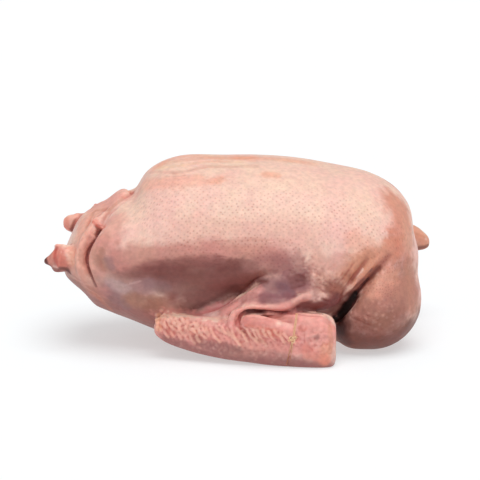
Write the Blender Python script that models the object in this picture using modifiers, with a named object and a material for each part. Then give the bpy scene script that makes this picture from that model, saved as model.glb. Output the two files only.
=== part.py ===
"""A whole raw goose, plucked and oven-ready, lying on its back with its folded wings tied.

Millimetres in the named values, metres in the scene. +X runs from the tail to the neck, +Y to the
bird's right side, the far one, and +Z up through the breast. The forms are laid out on a bird of
406 mm from hock to wing, and the whole is then brought to BIRD_LENGTH, with the origin under its
middle, on the surface that it lies on.
"""

import math

import bmesh
import bpy
import numpy as np
from mathutils import Euler, Matrix, Vector
from mathutils.bvhtree import BVHTree
from mathutils.geometry import convex_hull_2d

MM = 0.001

# Driving dimensions
BIRD_LENGTH = 385.0
COARSE_VOXEL = 5.0
FINE_VOXEL = 1.8
GOOSE_TRIANGLES = 10000
# Rounds of smoothing: of the melted trunk, of the whole skin, and of the skin once it is folded
TRUNK_ROUNDS = 40
SKIN_ROUNDS = 12
FOLD_ROUNDS = 3
TIE_RADIUS = 0.9
# The twine's groove is this much wider all round, and the twine is sunk into the skin by this.
TIE_GAP = 0.45
TIE_SINK = 0.5

# Near is the side whose wing lies on the table. The side view that folds are laid out in looks
# across the bird and down by this angle; it gives the place along the bird and the height.
SIDE_VIEW_TILT = math.radians(14.0)
NEAR = 1.0
FAR = -1.0

# Colour, roughness and metallic value
SKIN = ((0.78, 0.47, 0.38, 1.0), 0.42, 0.0)
TWINE = ((0.72, 0.56, 0.36, 1.0), 0.7, 0.0)

# Rings of a body: x, middle y, lowest z, z of the widest level, highest z, half width
BACK_RINGS = (
    (-150, -4, 40, 92, 128, 30),
    (-133, -5, 30, 84, 144, 56),
    (-112, -6, 24, 74, 152, 70),
    (-80, -7, 11, 66, 156, 76),
    (-40, -8, -3, 60, 158, 76),
    (10, -8, -4, 56, 158, 72),
    (60, -8, -4, 56, 156, 66),
    (100, -8, 0, 64, 150, 66),
    (132, -8, 18, 84, 140, 66),
    (158, -8, 48, 98, 124, 40),
)
BREAST_RINGS = (
    (-115, -8, 116, 134, 140, 22),
    (-108, -8, 92, 128, 156, 54),
    (-102, -8, 80, 122, 171, 70),
    (-94, -8, 72, 119, 180.5, 80),
    (-78, -7, 62, 115, 190, 89),
    (-53, -6, 56, 112, 196, 95),
    (-20, -5, 54, 110, 195, 97),
    (22, -4, 54, 110, 195, 98),
    (64, -4, 54, 110, 191.5, 98),
    (98, -4, 54, 110, 185, 97),
    (130, -5, 53, 108, 179, 90),
    (149, -5, 48, 106, 171.5, 83),
    (164, -5, 48, 106, 162, 74),
    (175, -5, 54, 106, 150, 60),
    (183, -5, 70, 106, 136, 39),
)
BELT_RINGS = (
    (-184, -8, 70, 82, 94, 20),
    (-177, -8, 67, 86, 108, 40),
    (-169, -7, 59, 90, 126, 54),
    (-160, -7, 53, 89, 136, 60),
    (-150, -6, 38, 88, 141, 65),
    (-136, -6, 35, 88, 149.5, 69),
    (-123, -6, 37, 92, 161, 71),
    (-114, -6, 46, 100, 161.5, 69),
)
NEAR_WING_RINGS = (
    (-88, -84, 27, 31, 35, 3),
    (-83, -86, 22, 33, 43, 7),
    (-70, -88, 15, 31, 47, 10),
    (-40, -94, 7, 26, 48, 13),
    (-11, -101, 3, 22, 45, 15),
    (15, -106, 1, 20, 44, 16),
    (40, -109, -2, 22, 50, 17),
    (60, -112, -3, 24, 55, 18.5),
    (80, -113, -4, 24, 55, 19.5),
    (91, -113, -4, 24, 54, 18.5),
    (98, -113, -2, 25, 52, 15.5),
    (101.5, -112, 5, 25, 47, 10),
)
# The skin between the upper arm and the body
NEAR_WEB_RINGS = (
    (-74, -80, 32, 38, 43, 4),
    (-35, -86, 34, 42, 50, 7),
    (-8, -90, 38, 51, 65, 9),
    (16, -93, 50, 65, 80, 10),
    (40, -92, 54, 74, 94, 13),
    (62, -88, 60, 80, 102, 17),
    (84, -80, 60, 82, 104, 18),
)
FAR_WEB_RINGS = (
    (16, 80, 44, 55, 66, 6),
    (40, 84, 48, 66, 84, 12),
    (64, 82, 52, 74, 98, 18),
    (90, 74, 54, 78, 102, 20),
)
FAR_WING_RINGS = (
    (12, 82, 48, 54, 60, 4),
    (24, 85, 43, 56, 72, 10),
    (48, 91, 42, 60, 84, 15),
    (84, 95, 46, 66, 92, 17),
    (120, 94, 54, 75, 99, 17),
    (150, 92, 62, 81, 102, 16),
    (176, 89, 70, 85, 102, 15),
    (190, 88, 72, 84, 98, 13),
    (200, 87, 74, 82, 90, 9),
    (204, 87, 77, 81, 85, 4),
)

# Tubes: stations of x, y, z and radius
LIMBS = {
    "near_arm": ((104, -78, 78, 24), (84, -88, 70, 19), (64, -96, 64, 13), (40, -102, 58, 9),
                 (14, -106, 57, 7), (0, -108, 52, 6), (-6, -110, 44, 6), (-2, -112, 36, 5)),
    "near_finger": ((9, -117, 45, 9), (26, -121, 43, 10.5), (50, -122, 38, 10.5), (70, -119, 32, 9)),
    "near_hock": ((-140, -48, 96, 20), (-170, -42, 97, 14), (-182, -42, 97, 12),
                  (-188, -42, 97, 9.5)),
    "near_knob_high": ((-180, -42, 105, 6), (-190.5, -42, 109.5, 3)),
    "near_knob_tip": ((-186, -42, 96, 7), (-199, -42, 93, 5)),
    "near_knob_low": ((-180, -44, 90, 8), (-190, -44, 86, 5.5)),
    "far_hock": ((-140, 38, 106, 20), (-160, 34, 113, 13), (-170, 34, 115, 11.5),
                 (-176, 34, 115, 10)),
    "far_arm": ((104, 60, 74, 24), (72, 82, 68, 18), (44, 92, 60, 12), (24, 94, 54, 9)),
    "far_finger": ((156, 108, 88, 8), (130, 113, 84, 9), (100, 113, 78, 9), (80, 110, 74, 8)),
}

# Creases and swells: points of place along the bird, height in the side view and how far the skin
# moves out, then the reach to each side.
BELT_CREASE = (((-138, 121, -1), (-143, 116, -5), (-147.5, 109, -8), (-152, 99.5, -7), (-156, 92, -7),
                (-158.7, 84, -7), (-158.5, 76, -6), (-156, 68, -5), (-151, 57, -1)), 6)
BELT_LIP = (((-142, 128, 1), (-150, 118, 4), (-157, 107, 5), (-163, 94, 5), (-165, 80, 5),
             (-163, 66, 3), (-158, 54, 1)), 9)
THIGH_EDGE = (((-136, 112, 1), (-143, 100, 4), (-149, 88, 5), (-150, 74, 4), (-144, 62, 1)), 11)
BELT_FOLD = (((-134, 139, -1), (-146, 129, -2.5), (-156, 122, -2.5), (-163, 112, -1)), 8)
NECK_CREASE = (((157, 86, -1), (151.7, 79, -3), (143.3, 70, -5), (133.9, 59, -7), (125, 49, -10),
                (117, 40, -13), (110, 32, -13), (103, 25, -11), (97, 19, -6)), 12)
NECK_SECOND = (((135, 83, -1), (128, 74, -2.5), (121, 65, -3), (113, 51, -2), (108, 42, -1)), 6.5)
NECK_ROLL = (((146, 84, 1), (137, 73, 2.5), (127, 62, 3), (118, 51, 1)), 8)
SLIT = (((44, 27.5, -1), (28, 28, -5), (13, 28, -7), (4, 25.5, -7), (-0.5, 21, -7), (-1.5, 16, -6),
         (0.5, 10.5, -4), (8, 8, -2), (18, 7.5, -1)), 5)
WEB_CREASE = (((28, 69, -1), (16.3, 57, -3), (4.7, 48, -4.5), (-6.8, 40.5, -5), (-21.5, 32, -4),
               (-35, 26.5, -3), (-48, 24, -1)), 8)
ARM_PIT = (((30, 58, -1), (42, 53, -4), (54, 52, -4), (64, 59, -4), (73, 68, -1)), 15)
WEB_RIDGE = (((75, 46, 1), (68, 44, 3.5), (59, 41, 3.5), (51, 35, 2.5), (42, 31, 2.5), (30, 29.5, 2.5),
              (14, 31, 2.5), (4, 29, 2.5), (-1.6, 22, 2)), 7)
FLANK_EDGE = (((-92, 60, -1), (-72, 66, -2.5), (-51, 68, -3.5), (-20, 68, -3.5), (5, 70, -1)), 24)
BELT_EDGE = (((-111, 154, -2.5), (-114.5, 149, -3), (-123.4, 141, -2.5), (-134.9, 130, -2.5),
              (-141, 121, -2)), 8)
NEAR_STROKES = (FLANK_EDGE, THIGH_EDGE, BELT_LIP, BELT_CREASE, BELT_FOLD, BELT_EDGE,
                NECK_ROLL, NECK_CREASE, NECK_SECOND, WEB_RIDGE, SLIT, WEB_CREASE, ARM_PIT)
FAR_STROKES = (FLANK_EDGE, THIGH_EDGE, BELT_LIP, BELT_CREASE, BELT_EDGE, NECK_SECOND)

# Ties: the middle of the folded wing where the twine goes round it, how far the loop leans along
# the bird for each millimetre of height, and the place of the knot as an angle round the wing.
NEAR_TIE = ((55.5, -113, 26), 0.17, math.radians(165))
FAR_TIE = ((118, 96, 76), 0.12, math.radians(6))
# The furthest that a tie's loop reaches from that middle towards the body, and in all
TIE_REACH_IN = 20
TIE_REACH = 36
KNOT_RADIUS = 2.2
# The cut ends beside the knot: how far each runs along the bird, outwards and upwards
KNOT_ENDS = ((5.0, 2.5, 4.5), (-5.0, 4.0, -2.0))


def clear_scene():
    for old in list(bpy.data.objects):
        bpy.data.objects.remove(old)


def material(name, finish):
    colour, roughness, metallic = finish
    made = bpy.data.materials.new(name)
    made.use_nodes = True
    shader = made.node_tree.nodes["Principled BSDF"]
    shader.inputs["Base Color"].default_value = colour
    shader.inputs["Roughness"].default_value = roughness
    shader.inputs["Metallic"].default_value = metallic
    made.diffuse_color = colour
    return made


def new_object(name, mesh, collection):
    made = bpy.data.objects.new(name, mesh)
    collection.objects.link(made)
    return made


def smooth_curve(points, per_span=8):
    """Points along a Catmull-Rom curve through points, each of any number of values."""
    knots = np.array(points, float)
    padded = np.vstack([2 * knots[0] - knots[1], knots, 2 * knots[-1] - knots[-2]])
    made = []
    for i in range(len(knots) - 1):
        a, b, c, d = padded[i : i + 4]
        for t in np.linspace(0, 1, per_span, endpoint=False):
            made.append(
                0.5
                * (
                    2 * b
                    + (c - a) * t
                    + (2 * a - 5 * b + 4 * c - d) * t**2
                    + (3 * b - 3 * c + d - a) * t**3
                )
            )
    made.append(knots[-1])
    return np.array(made)


def ringed_body(name, rings, collection, per_ring=48, squareness=2.15):
    """A closed body through upright rings, each an oval whose upper and lower halves differ."""
    angles = np.linspace(0, 2 * math.pi, per_ring, endpoint=False)
    across = np.sign(np.cos(angles)) * np.abs(np.cos(angles)) ** (2 / squareness)
    upright = np.sign(np.sin(angles)) * np.abs(np.sin(angles)) ** (2 / squareness)
    work = bmesh.new()
    loops = []
    for x, y, low, widest, high, half in smooth_curve(rings, 4):
        reach = np.where(upright > 0, high - widest, widest - low)
        loops.append(
            [
                work.verts.new((x * MM, (y + half * c) * MM, (widest + r * s) * MM))
                for c, r, s in zip(across, reach, upright)
            ]
        )
    for first, second in zip(loops, loops[1:]):
        for i in range(per_ring):
            j = (i + 1) % per_ring
            work.faces.new((first[i], second[i], second[j], first[j]))
    work.faces.new(loops[0])
    work.faces.new(list(reversed(loops[-1])))
    bmesh.ops.recalc_face_normals(work, faces=work.faces)
    mesh = bpy.data.meshes.new(name)
    work.to_mesh(mesh)
    work.free()
    return new_object(name, mesh, collection)


def oval(name, centre, radii, collection, turn=(0, 0, 0), segments=(32, 20)):
    """An ellipsoid with its middle and half axes in millimetres, turned by degrees about X, Y and Z."""
    work = bmesh.new()
    bmesh.ops.create_uvsphere(work, u_segments=segments[0], v_segments=segments[1], radius=MM)
    mesh = bpy.data.meshes.new(name)
    work.to_mesh(mesh)
    work.free()
    turned = Euler([math.radians(a) for a in turn])
    mesh.transform(Matrix.LocRotScale(Vector(centre) * MM, turned, Vector(radii)))
    return new_object(name, mesh, collection)


def limb(name, stations, collection):
    """A round-ended tube through stations of x, y, z and radius."""
    points = smooth_curve(stations, 5)
    data = bpy.data.curves.new(name, "CURVE")
    data.dimensions = "3D"
    data.bevel_depth = MM
    data.bevel_resolution = 4
    data.use_fill_caps = True
    spline = data.splines.new("POLY")
    spline.points.add(len(points) - 1)
    for point, (x, y, z, radius) in zip(spline.points, points):
        point.co = (x * MM, y * MM, z * MM, 1.0)
        point.radius = radius
    curve = new_object(name + "_line", data, collection)
    mesh = mesh_of(curve)
    bpy.data.objects.remove(curve)
    work = bmesh.new()
    work.from_mesh(mesh)
    for x, y, z, radius in (points[0], points[-1]):
        middle = Vector((x, y, z)) * MM
        bmesh.ops.create_icosphere(
            work,
            subdivisions=2,
            radius=radius * MM,
            matrix=Matrix.Translation(middle),
        )
    work.to_mesh(mesh)
    work.free()
    return new_object(name, mesh, collection)


def mesh_of(made):
    """A new mesh with the object's modifiers and placing applied."""
    bpy.context.view_layer.update()
    evaluated = made.evaluated_get(bpy.context.evaluated_depsgraph_get())
    mesh = bpy.data.meshes.new_from_object(evaluated)
    mesh.transform(made.matrix_world)
    work = bmesh.new()
    work.from_mesh(mesh)
    bmesh.ops.remove_doubles(work, verts=work.verts, dist=1e-6)
    work.to_mesh(mesh)
    work.free()
    return mesh


def melt(name, pieces, voxel, collection):
    """One closed skin round pieces that run into each other."""
    work = bmesh.new()
    for piece in pieces:
        work.from_mesh(mesh_of(piece))
    joined = bpy.data.meshes.new(name)
    work.to_mesh(joined)
    work.free()
    for piece in pieces:
        bpy.data.objects.remove(piece)
    made = new_object(name, joined, collection)
    remesh = made.modifiers.new("melt", "REMESH")
    remesh.mode = "VOXEL"
    remesh.voxel_size = voxel * MM
    remesh.adaptivity = 0.0
    mesh = mesh_of(made)
    made.modifiers.clear()
    made.data = mesh
    return made


def points_of(mesh):
    points = np.empty(len(mesh.vertices) * 3)
    mesh.vertices.foreach_get("co", points)
    return points.reshape(-1, 3) / MM


def put_points(mesh, points):
    mesh.vertices.foreach_set("co", (points * MM).ravel())
    mesh.update()


def normals_of(mesh):
    normals = np.empty(len(mesh.vertices) * 3)
    mesh.vertex_normals.foreach_get("vector", normals)
    return normals.reshape(-1, 3)


def relax(made, rounds):
    """Smooths the skin without shrinking it."""
    mesh = made.data
    ends = np.empty(len(mesh.edges) * 2, np.int32)
    mesh.edges.foreach_get("vertices", ends)
    first, second = ends.reshape(-1, 2).T
    points = points_of(mesh)
    count = np.bincount(ends, minlength=len(points))[:, None]
    for _ in range(rounds):
        for step in (0.6, -0.56):
            total = np.zeros_like(points)
            np.add.at(total, first, points[second])
            np.add.at(total, second, points[first])
            points += step * (total / count - points)
    put_points(mesh, points)


def on_skin(tree, line, side):
    """Where a line drawn in the side view falls on the skin, with the height of each point."""
    down = Vector((0, side * math.cos(SIDE_VIEW_TILT), -math.sin(SIDE_VIEW_TILT)))
    up = Vector((0, side * math.sin(SIDE_VIEW_TILT), math.cos(SIDE_VIEW_TILT)))
    found = []
    for along, height, out in smooth_curve(line, 10):
        start = Vector((along, 0, 0)) + up * height - down * 600
        hit = tree.ray_cast(start * MM, down)[0]
        if hit:
            found.append((*(hit / MM), out))
    return np.array(found)


def press(made, strokes, side):
    """Pushes creases in and draws swells out along their lines, all measured on the same skin."""
    tree = BVHTree.FromObject(made, bpy.context.evaluated_depsgraph_get())
    points = points_of(made.data)
    normals = normals_of(made.data)
    moved = points.copy()
    for line, reach in strokes:
        path = on_skin(tree, line, side)
        low = path[:, :3].min(0) - reach
        high = path[:, :3].max(0) + reach
        near = np.nonzero(((points > low) & (points < high)).all(1))[0]
        gaps = np.linalg.norm(points[near, None] - path[None, :, :3], axis=2)
        nearest = gaps.argmin(1)
        gap = gaps[np.arange(len(near)), nearest]
        share = np.clip(1 - gap / reach, 0, 1) ** 2 * (1 + 2 * gap / reach)
        moved[near] += normals[near] * (share * path[nearest, 3])[:, None]
    put_points(made.data, moved)


def build_trunk(collection):
    pieces = [
        ringed_body("back", BACK_RINGS, collection),
        ringed_body("breast", BREAST_RINGS, collection),
        ringed_body("belt", BELT_RINGS, collection),
        oval("near_thigh", (-72, -50, 120), (87, 46, 42), collection, (0, -11, 4)),
        oval("far_thigh", (-72, 38, 112), (85, 44, 40), collection, (0, -9, -4)),
        oval("near_shoulder", (86, -56, 80), (50, 48, 35), collection),
        oval("far_shoulder", (86, 46, 74), (48, 46, 35), collection),
        oval("neck_bag", (139, -34, 51), (54, 62, 54), collection),
        oval("neck_front", (149, -16, 90), (41, 62, 50), collection),
        oval("neck_fold", (124, -46, 27), (27, 42, 27), collection),
    ]
    trunk = melt("trunk", pieces, COARSE_VOXEL, collection)
    relax(trunk, TRUNK_ROUNDS)
    return trunk


def build_goose(collection):
    pieces = [
        build_trunk(collection),
        ringed_body("near_fold", NEAR_WING_RINGS, collection, 32, 2.8),
        ringed_body("far_fold", FAR_WING_RINGS, collection, 32, 2.6),
        ringed_body("near_web", NEAR_WEB_RINGS, collection, 32),
        ringed_body("far_web", FAR_WEB_RINGS, collection, 32),
        *(limb(name, stations, collection) for name, stations in LIMBS.items()),
    ]
    goose = melt("goose", pieces, FINE_VOXEL, collection)
    relax(goose, SKIN_ROUNDS)
    press(goose, NEAR_STROKES, NEAR)
    press(goose, FAR_STROKES, FAR)
    relax(goose, FOLD_ROUNDS)
    thin = goose.modifiers.new("thin", "DECIMATE")
    thin.ratio = GOOSE_TRIANGLES / (2 * len(goose.data.polygons))
    mesh = mesh_of(goose)
    goose.modifiers.clear()
    goose.data = mesh
    return goose


def tie_loop(tree, middle, lean, rays=72, count=56):
    """The tight loop of twine round a folded wing: the hull of the wing's cut, evenly spaced."""
    middle = Vector(middle)
    upright = Vector((lean, 0, 1)).normalized()
    across = Vector((0, 1, 0))
    cut = []
    for turn in np.linspace(0, 2 * math.pi, rays, endpoint=False):
        reach = tree.ray_cast(middle * MM, across * math.cos(turn) + upright * math.sin(turn))[3]
        inward = -math.cos(turn) * math.copysign(1, middle.y)
        reach = min(reach / MM, TIE_REACH, TIE_REACH_IN / max(inward, 0.01))
        cut.append((math.cos(turn) * reach, math.sin(turn) * reach))
    hull = np.array([cut[i] for i in convex_hull_2d(cut)])
    hull += hull / np.linalg.norm(hull, axis=1)[:, None] * (TIE_RADIUS - TIE_SINK)
    closed = np.vstack([hull, hull[:1]])
    along = np.concatenate([[0], np.cumsum(np.linalg.norm(np.diff(closed, axis=0), axis=1))])
    places = np.linspace(0, along[-1], count, endpoint=False)
    loop = np.stack([np.interp(places, along, closed[:, i]) for i in (0, 1)], 1)
    for _ in range(3):
        loop = (np.roll(loop, 1, 0) + 2 * loop + np.roll(loop, -1, 0)) / 4
    made = [middle + across * y + upright * z for y, z in loop]
    return [Vector((p.x, p.y, max(p.z, TIE_RADIUS + TIE_GAP))) for p in made]


def tube(name, points, radius, collection, cyclic, sides=2):
    data = bpy.data.curves.new(name, "CURVE")
    data.dimensions = "3D"
    data.bevel_depth = radius * MM
    data.bevel_resolution = sides
    data.use_fill_caps = not cyclic
    spline = data.splines.new("POLY")
    spline.points.add(len(points) - 1)
    for point, place in zip(spline.points, points):
        point.co = (*(Vector(place) * MM), 1.0)
    spline.use_cyclic_u = cyclic
    curve = new_object(name + "_line", data, collection)
    mesh = mesh_of(curve)
    bpy.data.objects.remove(curve)
    return new_object(name, mesh, collection)


def cut(made, tool, operation="DIFFERENCE"):
    change = made.modifiers.new(tool.name, "BOOLEAN")
    change.operation = operation
    change.solver = "EXACT"
    change.object = tool
    tool.hide_render = True
    tool.display_type = "WIRE"


def build_tie(name, goose, tree, place, whole, cutters):
    """Twine tied round a folded wing with its knot on the outside, and the groove that it lies in."""
    middle, lean, knot_turn = place
    loop = tie_loop(tree, middle, lean)
    tie = tube(name, loop, TIE_RADIUS, whole, True)
    outward = Vector((0, math.cos(knot_turn), math.sin(knot_turn)))
    seat = max(loop, key=lambda point: (point - Vector(middle)).normalized().dot(outward))
    heart = seat + outward * (KNOT_RADIUS + TIE_GAP / 2)
    cut(tie, oval(name + "_knot", heart, (KNOT_RADIUS,) * 3, cutters, segments=(12, 8)), "UNION")
    for i, (along, out, up) in enumerate(KNOT_ENDS):
        end = heart + Vector((along, 0, up)) + outward * out
        strand = tube(f"{name}_end_{i}", (heart, end), TIE_RADIUS * 0.8, cutters, False)
        cut(tie, strand, "UNION")
    cut(goose, tube(name + "_groove", loop, TIE_RADIUS + TIE_GAP, cutters, True))
    return tie


def lay_down(goose, cutters):
    """Presses a flat spot wherever the bird's weight rests."""
    work = bmesh.new()
    bmesh.ops.create_cube(work, size=1.0)
    mesh = bpy.data.meshes.new("floor_cut")
    work.to_mesh(mesh)
    work.free()
    mesh.transform(Matrix.LocRotScale(Vector((0, 0, -30)) * MM, None, Vector((600, 400, 60)) * MM))
    cut(goose, new_object("floor_cut", mesh, cutters))


def bounds_of(parts):
    points = np.vstack([points_of(mesh_of(part)) for part in parts])
    return points.min(0), points.max(0)


def set_origin(whole, cutters):
    """Brings the bird to its length, with the origin under its middle."""
    low, high = bounds_of(whole.objects)
    middle = Vector((*((low + high) / 2)[:2], 0)) * MM
    size = BIRD_LENGTH / (high - low)[0]
    for made in (*whole.objects, *cutters.objects):
        made.data.transform(Matrix.Scale(size, 4) @ Matrix.Translation(-middle))
        made.data.update()


def main():
    clear_scene()
    whole = bpy.data.collections.new("whole_raw_goose")
    cutters = bpy.data.collections.new("cutters")
    for collection in (whole, cutters):
        bpy.context.scene.collection.children.link(collection)
    skin = material("goose_skin", SKIN)
    twine = material("butcher_twine", TWINE)
    goose = build_goose(whole)
    goose.data.materials.append(skin)
    tree = BVHTree.FromObject(goose, bpy.context.evaluated_depsgraph_get())
    lay_down(goose, cutters)
    for name, place in (("near_wing_tie", NEAR_TIE), ("far_wing_tie", FAR_TIE)):
        tie = build_tie(name, goose, tree, place, whole, cutters)
        tie.data.materials.append(twine)
    set_origin(whole, cutters)


main()
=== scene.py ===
"""Looks of a whole raw goose that lies on its back, with its folded wings tied in twine.

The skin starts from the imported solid, is remeshed finely, and gets its creases, folds, puckers and
quill stumps pressed in, then its colours laid on in soft strokes. Lines on the skin are given as
pixels of the photograph, across and down in its 480 by 480 frame, and fall on the skin along the
camera's rays. The hidden side gets those of the body and the belt mirrored, and its wing its own.
"""

import math
import random

import bpy
import numpy as np
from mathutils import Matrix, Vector
from mathutils.bvhtree import BVHTree
from mathutils.noise import noise


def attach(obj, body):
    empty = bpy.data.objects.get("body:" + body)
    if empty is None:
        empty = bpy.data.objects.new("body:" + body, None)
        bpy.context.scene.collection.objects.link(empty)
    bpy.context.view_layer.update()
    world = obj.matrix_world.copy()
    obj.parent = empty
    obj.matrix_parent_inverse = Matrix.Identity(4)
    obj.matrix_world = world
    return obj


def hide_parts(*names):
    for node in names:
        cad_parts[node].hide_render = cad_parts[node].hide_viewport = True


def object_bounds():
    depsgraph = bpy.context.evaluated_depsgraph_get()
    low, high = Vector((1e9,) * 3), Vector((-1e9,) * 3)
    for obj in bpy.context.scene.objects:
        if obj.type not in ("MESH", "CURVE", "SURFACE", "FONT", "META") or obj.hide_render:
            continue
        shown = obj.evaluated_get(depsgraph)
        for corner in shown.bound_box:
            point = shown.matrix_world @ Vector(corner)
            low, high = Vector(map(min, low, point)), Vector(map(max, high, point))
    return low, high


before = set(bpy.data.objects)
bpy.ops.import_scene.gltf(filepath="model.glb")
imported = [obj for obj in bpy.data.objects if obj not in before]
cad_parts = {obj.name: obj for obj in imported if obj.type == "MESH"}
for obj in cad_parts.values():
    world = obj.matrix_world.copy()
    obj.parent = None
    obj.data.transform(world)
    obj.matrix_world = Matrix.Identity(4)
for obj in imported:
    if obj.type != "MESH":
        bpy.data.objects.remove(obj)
cad_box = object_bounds()

MM = 0.001
NEAR = 1.0
FAR = -1.0

# Camera: the size of a pixel at the bird, the photo's height of view, and where its middle looks.
PIXEL = 0.9957 * MM
PHOTO_MIDDLE = 240.0
ORIGIN_ACROSS = 238.5
ORIGIN_DOWN = 337.8
CAMERA_HEIGHT = math.radians(14.0)
CAMERA_DISTANCE = 6.0
SENSOR = 36.0

# Light: the room's strength, then each softbox by the direction it shines from, its strength, the
# degrees of sky it covers and its colour.
ROOM_LIGHT = 0.44
SOFTBOXES = {
    "softbox_above": ((0.14, -0.2, 1.0), 1.85, 50, (1.0, 0.985, 0.97)),
    "softbox_front": ((0.0, -1.0, 0.45), 0.25, 60, (1.0, 0.98, 0.97)),
}
# The white floor glows a little, which keeps the shadows on it as pale as in the photo.
FLOOR_REACH = 8.0
FLOOR_SHADE = (188, 193, 196)
FLOOR_ROUGHNESS = 0.9
FLOOR_GLOW = 0.47

# Skin: the grid that it is remeshed on, its final triangles, rounds of smoothing before and after the
# relief, and the steps of each round, which together don't shrink it.
SKIN_VOXEL = 1.25 * MM
SKIN_TRIANGLES = 190000
SMOOTH_FIRST = 8
SMOOTH_LAST = 1
SMOOTH_STEPS = (0.6, -0.56)
WELD_GAP = 0.01 * MM
# Points of a stroke's line are this many pixels apart, or with this many to its reach if that is wider
LINE_STEP = 1.2
LINE_PARTS = 5
# Skin that faces less than this towards the skin under a stroke counts as further off
FACING_LEAST = 0.4

# Twine: each strand is two plies wound round each other, and two strands go round a wing. Half the
# gap between the strands is given above and below the knot, and the height over which it changes.
PLY_RADIUS = 0.3 * MM
TWIST_LENGTH = 3.0 * MM
TWINE_STEP = 0.4 * MM
TWINE_RISE = 0.35 * MM
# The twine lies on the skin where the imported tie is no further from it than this.
TWINE_SLACK = 6.0 * MM
# How far the twine sinks into the groove over the wing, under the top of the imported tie
TWINE_SINKS = 4.5 * MM
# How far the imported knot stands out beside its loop, and how deep its middle is
KNOT_STANDS = 5.0 * MM
KNOT_DEPTH = 5.2 * MM
STRAND_APART = (0.6 * MM, 1.15 * MM)
STRANDS_PART = 12 * MM
KNOT_SIZE = 1.15 * MM
KNOT_ENDS = ((0.7, 0.1, 0.6), (-0.75, 0.2, -0.3))
KNOT_STEPS = 60
END_LENGTH = 0.8 * MM
# Fibres of a frayed end: how many, their radius and lengths, and how much they spread and bend
FIBRES = 9
FIBRE_RADIUS = 0.16 * MM
FIBRE_LENGTHS = (1.6 * MM, 3.2 * MM)
FIBRE_SPREAD = 0.38
FIBRE_BEND = 0.25

# Colours of the bare skin and flesh, and of painted shade, shadow and highlights, 0 to 255.
TOP_SKIN = (242, 208, 191)
SIDE_SKIN = (243, 205, 192)
# Underside: partly the back's own darker skin, partly painted shade
UNDER_SKIN_AND_SHADE = (158, 108, 100)
PALE = (247, 208, 196)
WHITISH = (238, 206, 200)
PINK = (228, 170, 157)
DEEP_PINK = (206, 144, 132)
ROSE = (222, 156, 152)
MAUVE = (166, 112, 108)
BROWN = (132, 80, 74)
UMBER = (122, 66, 58)
DARK = (84, 36, 32)
PIT_SHADOW_BLACK = (22, 5, 5)
LAVENDER = (168, 128, 126)
PURPLE = (142, 89, 96)
VIOLET = (128, 90, 102)
OLIVE = (166, 116, 92)
BLUISH = (150, 118, 120)
RED = (200, 84, 68)
CORAL = (222, 122, 104)
ORANGE = (238, 160, 122)
FAT = (248, 200, 156)
PEACH = (238, 176, 152)
TAN = (200, 138, 114)
RUSSET = (160, 96, 82)
WING_PINK = (230, 160, 151)
QUILL_PALE = (240, 188, 168)
QUILL_GAP = (196, 108, 96)
BAG_SKIN = (174, 112, 94)
BAG_LOW = (112, 59, 46)
NECK_SKIN = (212, 142, 116)
MEMBRANE = (196, 166, 164)
ROSE_BROWN = (114, 48, 47)
BELT_SKIN = (234, 174, 159)
DEEP_ROSE = (212, 132, 126)
SLIT_SHADOW_RED = (96, 30, 30)
WING_LOW = (158, 106, 102)
PIT_EDGE_SHADE = (136, 68, 50)
HOCK_FLESH = (202, 131, 114)


def linear(colour):
    """A 0 to 255 colour as the linear values that shaders use."""
    share = np.array(colour, float) / 255
    return np.where(share <= 0.04045, share / 12.92, ((share + 0.055) / 1.055) ** 2.4)


def shader_colour(colour):
    return (*linear(colour), 1)


def camera_axes():
    back = Vector((0, -math.cos(CAMERA_HEIGHT), math.sin(CAMERA_HEIGHT)))
    up = Vector((0, math.sin(CAMERA_HEIGHT), math.cos(CAMERA_HEIGHT)))
    return Vector((1, 0, 0)), up, back


def picture_point(across, down):
    """The point on the picture's plane through the bird that a pixel of the photo shows."""
    right, up, _ = camera_axes()
    return right * (across - ORIGIN_ACROSS) * PIXEL + up * (ORIGIN_DOWN - down) * PIXEL


def camera_place():
    return picture_point(PHOTO_MIDDLE, PHOTO_MIDDLE) + camera_axes()[2] * CAMERA_DISTANCE


def make_camera():
    data = bpy.data.cameras.new("camera")
    camera = bpy.data.objects.new("camera", data)
    bpy.context.scene.collection.objects.link(camera)
    data.sensor_width = SENSOR
    data.lens = SENSOR * CAMERA_DISTANCE / (2 * PHOTO_MIDDLE * PIXEL)
    data.clip_end = 50
    camera.location = camera_place()
    camera.rotation_mode = "QUATERNION"
    camera.rotation_quaternion = (-camera_axes()[2]).to_track_quat("-Z", "Y")
    bpy.context.scene.camera = camera


def make_sun(name, towards, strength, spread, colour):
    """A sun shining from a direction, as soft as a lamp that covers spread degrees of sky."""
    data = bpy.data.lights.new(name, "SUN")
    data.energy = strength
    data.angle = math.radians(spread)
    data.color = colour
    light = bpy.data.objects.new(name, data)
    light.location = Vector(towards).normalized() * 2
    light.rotation_mode = "QUATERNION"
    light.rotation_quaternion = Vector(towards).to_track_quat("Z", "Y")
    bpy.context.scene.collection.objects.link(light)


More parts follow.
